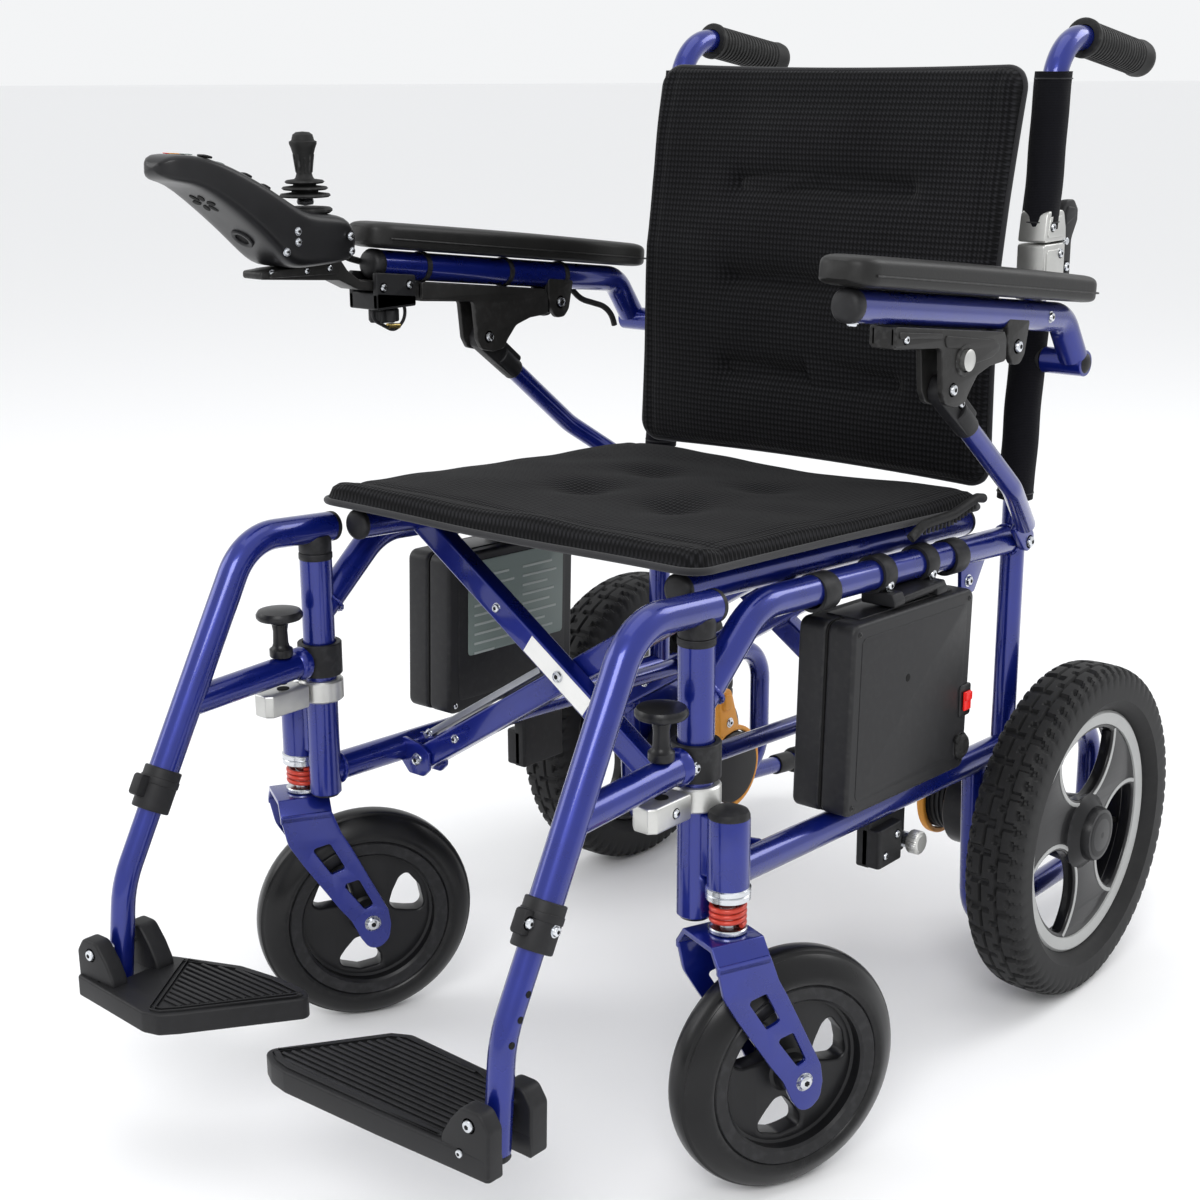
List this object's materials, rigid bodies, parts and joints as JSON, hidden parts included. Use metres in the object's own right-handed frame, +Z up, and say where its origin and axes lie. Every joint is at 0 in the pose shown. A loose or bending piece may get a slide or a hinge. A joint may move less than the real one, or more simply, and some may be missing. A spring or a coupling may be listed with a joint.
{
  "type": "power wheelchair",
  "caption": "Folding power wheelchair: tubular side frames, crossed brace, gearmotors, swing-away footrests, flip-up arms and a joystick.",
  "frame": {"origin": "centre of the footprint at floor level", "axes": "+Z up, +Y to the rear (the chair faces -Y), +X to the user's left"},
  "size_m": [0.5992, 1.034, 0.8904],
  "materials": {
    "frame_blue": "gloss metallic lacquer",
    "black_plastic": "fine grained",
    "charcoal_casting": "satin",
    "rubber": "matt",
    "tyre": "matt, treaded",
    "mesh_fabric": "woven mesh",
    "zinc": "bright zinc",
    "silver_casting": "satin",
    "black_alloy": "satin with bare edges",
    "orange_lever": "satin",
    "red_spring": "gloss",
    "red_rocker": "gloss",
    "armrest_skin": "grained polyurethane"
  },
  "bodies": {
    "left_frame": {"side_frame_left": "frame_blue", "drive_motor_left": "black_plastic", "caster_spring_left": "red_spring", "back_cushion_lower": "mesh_fabric"},
    "cross_brace_a": {"cross_brace_a": "frame_blue", "seat_cushion_right": "mesh_fabric"},
    "cross_brace_b": {"cross_brace_b": "frame_blue", "seat_cushion_left": "mesh_fabric"},
    "right_frame": {"side_frame_right": "frame_blue", "drive_motor_right": "black_plastic", "caster_spring_right": "red_spring"},
    "left_caster_stem": {"caster_stem_left": "zinc"},
    "left_caster_fork": {"caster_fork_left": "frame_blue"},
    "left_caster_wheel": {"caster_wheel_left": "tyre"},
    "left_drive_wheel": {"drive_rim_left": "black_alloy", "drive_tyre_left": "tyre"},
    "left_clutch_lever": {"clutch_lever_left": "orange_lever"},
    "left_footrest_hanger": {"footrest_hanger_left": "frame_blue"},
    "left_footrest_latch": {"footrest_latch_left": "black_plastic"},
    "left_footrest_tube": {"footrest_tube_left": "frame_blue"},
    "left_footplate": {"footplate_left": "black_plastic"},
    "left_armrest": {"armrest_tube_left": "frame_blue", "armrest_pad_left": "armrest_skin"},
    "left_armrest_bracket": {"armrest_bracket_left": "charcoal_casting"},
    "left_armrest_button": {"armrest_button_left": "silver_casting"},
    "left_armrest_strut": {"armrest_strut_left": "frame_blue"},
    "left_push_cane": {"push_cane_left": "frame_blue", "push_grip_left": "rubber", "back_cushion_upper": "mesh_fabric"},
    "left_cane_lever": {"cane_lever_left": "black_plastic"},
    "left_battery": {"battery_left": "black_plastic"},
    "right_caster_stem": {"caster_stem_right": "zinc"},
    "right_caster_fork": {"caster_fork_right": "frame_blue"},
    "right_caster_wheel": {"caster_wheel_right": "tyre"},
    "right_drive_wheel": {"drive_rim_right": "black_alloy", "drive_tyre_right": "tyre"},
    "right_clutch_lever": {"clutch_lever_right": "orange_lever"},
    "right_footrest_hanger": {"footrest_hanger_right": "frame_blue"},
    "right_footrest_latch": {"footrest_latch_right": "black_plastic"},
    "right_footrest_tube": {"footrest_tube_right": "frame_blue"},
    "right_footplate": {"footplate_right": "black_plastic"},
    "right_armrest": {"armrest_tube_right": "frame_blue", "armrest_pad_right": "armrest_skin", "controller_cable": "rubber"},
    "right_armrest_bracket": {"armrest_bracket_right": "charcoal_casting"},
    "right_armrest_button": {"armrest_button_right": "silver_casting"},
    "right_armrest_strut": {"armrest_strut_right": "frame_blue"},
    "right_push_cane": {"push_cane_right": "frame_blue", "push_grip_right": "rubber"},
    "right_cane_lever": {"cane_lever_right": "black_plastic"},
    "right_battery": {"battery_right": "black_plastic"},
    "battery_switch": {"battery_switch": "red_rocker"},
    "charge_cover": {"charge_cover": "rubber"},
    "battery_lock": {"battery_lock_knob": "silver_casting"},
    "controller": {"controller_body": "black_plastic", "controller_mount": "black_plastic"},
    "mount_knob": {"mount_knob": "black_plastic"},
    "joystick_gimbal": {"joystick_gimbal": "zinc"},
    "joystick": {"joystick_lever": "rubber"},
    "power_button": {"power_button": "black_plastic"}
  },
  "joints": [
    {"name": "fold", "type": "hinge", "parent": "left_frame", "child": "cross_brace_a", "pos_m": [0.17368, -0.16852, 0.24238], "axis": [0, 0.9984, -0.0558], "range_deg": [0, 17.5], "deforming": ["seat_cushion_left", "seat_cushion_right", "back_cushion_lower", "back_cushion_upper"]},
    {"name": "cross_brace_pivot", "type": "hinge", "parent": "cross_brace_a", "child": "cross_brace_b", "pos_m": [-0.00632, -0.162, 0.359], "axis": [0, -0.9984, 0.0558], "range_deg": [0, 35], "deforming": ["seat_cushion_left", "seat_cushion_right", "back_cushion_lower", "back_cushion_upper"]},
    {"name": "right_clevis", "type": "hinge", "parent": "cross_brace_b", "child": "right_frame", "pos_m": [-0.18632, -0.16852, 0.24238], "axis": [0, 0.9984, -0.0558], "range_deg": [0, 17.5], "deforming": ["seat_cushion_left", "seat_cushion_right", "back_cushion_lower", "back_cushion_upper"]},
    {"name": "left_caster_suspension", "type": "slide", "parent": "left_frame", "child": "left_caster_stem", "axis": [0, 0, 1], "range_m": [0, 0.005], "stiffness_N_per_m": 20000, "springref_m": -0.006, "deforming": ["caster_spring_left"]},
    {"name": "left_caster_swivel", "type": "hinge", "parent": "left_caster_stem", "child": "left_caster_fork", "pos_m": [0.23018, -0.2505, 0.226], "axis": [0, 0, 1], "continuous": true},
    {"name": "left_caster_spin", "type": "hinge", "parent": "left_caster_fork", "child": "left_caster_wheel", "pos_m": [0.24925, -0.20234, 0.1], "axis": [0.9298, -0.3681, 0], "continuous": true},
    {"name": "left_drive_spin", "type": "hinge", "parent": "left_frame", "child": "left_drive_wheel", "pos_m": [0.25868, 0.256, 0.1583], "axis": [1, 0, 0], "continuous": true},
    {"name": "left_clutch", "type": "hinge", "parent": "left_frame", "child": "left_clutch_lever", "pos_m": [0.10168, 0.29, 0.15], "axis": [1, 0, 0], "range_deg": [0, 35]},
    {"name": "left_footrest_swing", "type": "hinge", "parent": "left_frame", "child": "left_footrest_hanger", "pos_m": [0.19928, -0.251, 0.4], "axis": [0, 0, 1], "range_deg": [0, 90]},
    {"name": "left_footrest_latch_lift", "type": "slide", "parent": "left_footrest_hanger", "child": "left_footrest_latch", "axis": [0, 0, 1], "range_m": [0, 0.014], "stiffness_N_per_m": 300, "springref_m": -0.004},
    {"name": "left_footrest_length", "type": "slide", "parent": "left_footrest_hanger", "child": "left_footrest_tube", "axis": [0, -0.483, -0.8756], "range_m": [-0.03, 0.04]},
    {"name": "left_footplate_flip", "type": "hinge", "parent": "left_footrest_tube", "child": "left_footplate", "pos_m": [0.20268, -0.479, 0.166], "axis": [0, 1, 0], "range_deg": [0, 90]},
    {"name": "left_armrest_flip", "type": "hinge", "parent": "left_frame", "child": "left_armrest", "pos_m": [0.23368, 0.2384, 0.5985], "axis": [-1, 0, 0], "range_deg": [0, 90]},
    {"name": "left_armrest_bracket_turn", "type": "hinge", "parent": "left_armrest", "child": "left_armrest_bracket", "pos_m": [0.24368, 0.11, 0.628], "axis": [1, 0, 0], "range_deg": [0, 92.3]},
    {"name": "left_armrest_release", "type": "slide", "parent": "left_armrest_bracket", "child": "left_armrest_button", "axis": [-1, 0, 0], "range_m": [0, 0.004], "stiffness_N_per_m": 500, "springref_m": -0.002},
    {"name": "left_armrest_strut_turn", "type": "hinge", "parent": "left_frame", "child": "left_armrest_strut", "pos_m": [0.21568, 0.219, 0.436], "axis": [-1, 0, 0], "range_deg": [0, 40.5]},
    {"name": "left_backrest_fold", "type": "hinge", "parent": "left_frame", "child": "left_push_cane", "pos_m": [0.19868, 0.272, 0.7], "axis": [-1, 0, 0], "range_deg": [0, 92], "deforming": ["back_cushion_upper", "back_cushion_lower"]},
    {"name": "left_cane_lever_turn", "type": "hinge", "parent": "left_frame", "child": "left_cane_lever", "pos_m": [0.20268, 0.286, 0.676], "axis": [-1, 0, 0], "range_deg": [0, 106]},
    {"name": "left_battery_pull_out", "type": "slide", "parent": "left_frame", "child": "left_battery", "axis": [1, 0, 0], "range_m": [0, 0.1]},
    {"name": "right_caster_suspension", "type": "slide", "parent": "right_frame", "child": "right_caster_stem", "axis": [0, 0, 1], "range_m": [0, 0.005], "stiffness_N_per_m": 20000, "springref_m": -0.006, "deforming": ["caster_spring_right"]},
    {"name": "right_caster_swivel", "type": "hinge", "parent": "right_caster_stem", "child": "right_caster_fork", "pos_m": [-0.24282, -0.2505, 0.226], "axis": [0, 0, 1], "continuous": true},
    {"name": "right_caster_spin", "type": "hinge", "parent": "right_caster_fork", "child": "right_caster_wheel", "pos_m": [-0.21676, -0.20574, 0.1], "axis": [0.8643, -0.503, 0], "continuous": true},
    {"name": "right_drive_spin", "type": "hinge", "parent": "right_frame", "child": "right_drive_wheel", "pos_m": [-0.27132, 0.256, 0.1583], "axis": [1, 0, 0], "continuous": true},
    {"name": "right_clutch", "type": "hinge", "parent": "right_frame", "child": "right_clutch_lever", "pos_m": [-0.11432, 0.224, 0.142], "axis": [1, 0, 0], "range_deg": [0, 35]},
    {"name": "right_footrest_swing", "type": "hinge", "parent": "right_frame", "child": "right_footrest_hanger", "pos_m": [-0.21192, -0.251, 0.4], "axis": [0, 0, -1], "range_deg": [0, 90]},
    {"name": "right_footrest_latch_lift", "type": "slide", "parent": "right_footrest_hanger", "child": "right_footrest_latch", "axis": [0, 0, 1], "range_m": [0, 0.014], "stiffness_N_per_m": 300, "springref_m": -0.004},
    {"name": "right_footrest_length", "type": "slide", "parent": "right_footrest_hanger", "child": "right_footrest_tube", "axis": [0, -0.483, -0.8756], "range_m": [-0.03, 0.04]},
    {"name": "right_footplate_flip", "type": "hinge", "parent": "right_footrest_tube", "child": "right_footplate", "pos_m": [-0.21532, -0.479, 0.166], "axis": [0, -1, 0], "range_deg": [0, 90]},
    {"name": "right_armrest_flip", "type": "hinge", "parent": "right_frame", "child": "right_armrest", "pos_m": [-0.24632, 0.2384, 0.5985], "axis": [-1, 0, 0], "range_deg": [0, 90]},
    {"name": "right_armrest_bracket_turn", "type": "hinge", "parent": "right_armrest", "child": "right_armrest_bracket", "pos_m": [-0.25632, 0.11, 0.628], "axis": [1, 0, 0], "range_deg": [0, 92.3]},
    {"name": "right_armrest_release", "type": "slide", "parent": "right_armrest_bracket", "child": "right_armrest_button", "axis": [1, 0, 0], "range_m": [0, 0.004], "stiffness_N_per_m": 500, "springref_m": -0.002},
    {"name": "right_armrest_strut_turn", "type": "hinge", "parent": "right_frame", "child": "right_armrest_strut", "pos_m": [-0.22832, 0.219, 0.436], "axis": [-1, 0, 0], "range_deg": [0, 40.5]},
    {"name": "right_backrest_fold", "type": "hinge", "parent": "right_frame", "child": "right_push_cane", "pos_m": [-0.21132, 0.272, 0.7], "axis": [-1, 0, 0], "range_deg": [0, 92]},
    {"name": "right_cane_lever_turn", "type": "hinge", "parent": "right_frame", "child": "right_cane_lever", "pos_m": [-0.21532, 0.286, 0.676], "axis": [-1, 0, 0], "range_deg": [0, 106]},
    {"name": "right_battery_pull_out", "type": "slide", "parent": "right_frame", "child": "right_battery", "axis": [-1, 0, 0], "range_m": [0, 0.1]},
    {"name": "battery_switch_rock", "type": "hinge", "parent": "left_battery", "child": "battery_switch", "pos_m": [0.22808, 0.1005, 0.3175], "axis": [0, 1, 0], "range_deg": [0, 14]},
    {"name": "charge_cover_lift", "type": "hinge", "parent": "left_battery", "child": "charge_cover", "pos_m": [0.22608, 0.092, 0.2905], "axis": [0, -1, 0], "range_deg": [0, 110]},
    {"name": "battery_lock_turn", "type": "hinge", "parent": "left_frame", "child": "battery_lock", "pos_m": [0.20568, 0.046, 0.199], "axis": [1, 0, 0], "range_deg": [0, 90]},
    {"name": "controller_reach", "type": "slide", "parent": "right_armrest", "child": "controller", "axis": [0, -0.9922, 0.125], "range_m": [0, 0.045]},
    {"name": "mount_knob_turn", "type": "hinge", "parent": "right_armrest", "child": "mount_knob", "pos_m": [-0.25632, -0.118, 0.64], "axis": [0, 0, 1], "range_deg": [0, 180]},
    {"name": "joystick_forward", "type": "hinge", "parent": "controller", "child": "joystick_gimbal", "pos_m": [-0.24832, -0.212, 0.743], "axis": [1, 0, 0], "range_deg": [-16, 16], "stiffness_Nm_per_rad": 0.15},
    {"name": "joystick_sideways", "type": "hinge", "parent": "joystick_gimbal", "child": "joystick", "pos_m": [-0.24832, -0.212, 0.743], "axis": [0, 1, 0], "range_deg": [-16, 16], "stiffness_Nm_per_rad": 0.15},
    {"name": "power_press", "type": "slide", "parent": "controller", "child": "power_button", "axis": [0, -0.383, -0.9237], "range_m": [0, 0.0015], "stiffness_N_per_m": 800, "springref_m": -0.0008}
  ],
  "couplings": [
    {"joint": "cross_brace_pivot", "follows": "fold", "ratio": 2},
    {"joint": "right_clevis", "follows": "fold", "ratio": 1},
    {"joint": "left_armrest_bracket_turn", "follows": "left_armrest_flip", "ratio": 1.0234},
    {"joint": "left_armrest_strut_turn", "follows": "left_armrest_flip", "ratio": 0.4478},
    {"joint": "left_cane_lever_turn", "follows": "left_backrest_fold", "ratio": 1.15},
    {"joint": "right_armrest_bracket_turn", "follows": "right_armrest_flip", "ratio": 1.0234},
    {"joint": "right_armrest_strut_turn", "follows": "right_armrest_flip", "ratio": 0.4478},
    {"joint": "right_backrest_fold", "follows": "left_backrest_fold", "ratio": 1},
    {"joint": "right_cane_lever_turn", "follows": "left_backrest_fold", "ratio": 1.15}
  ]
}
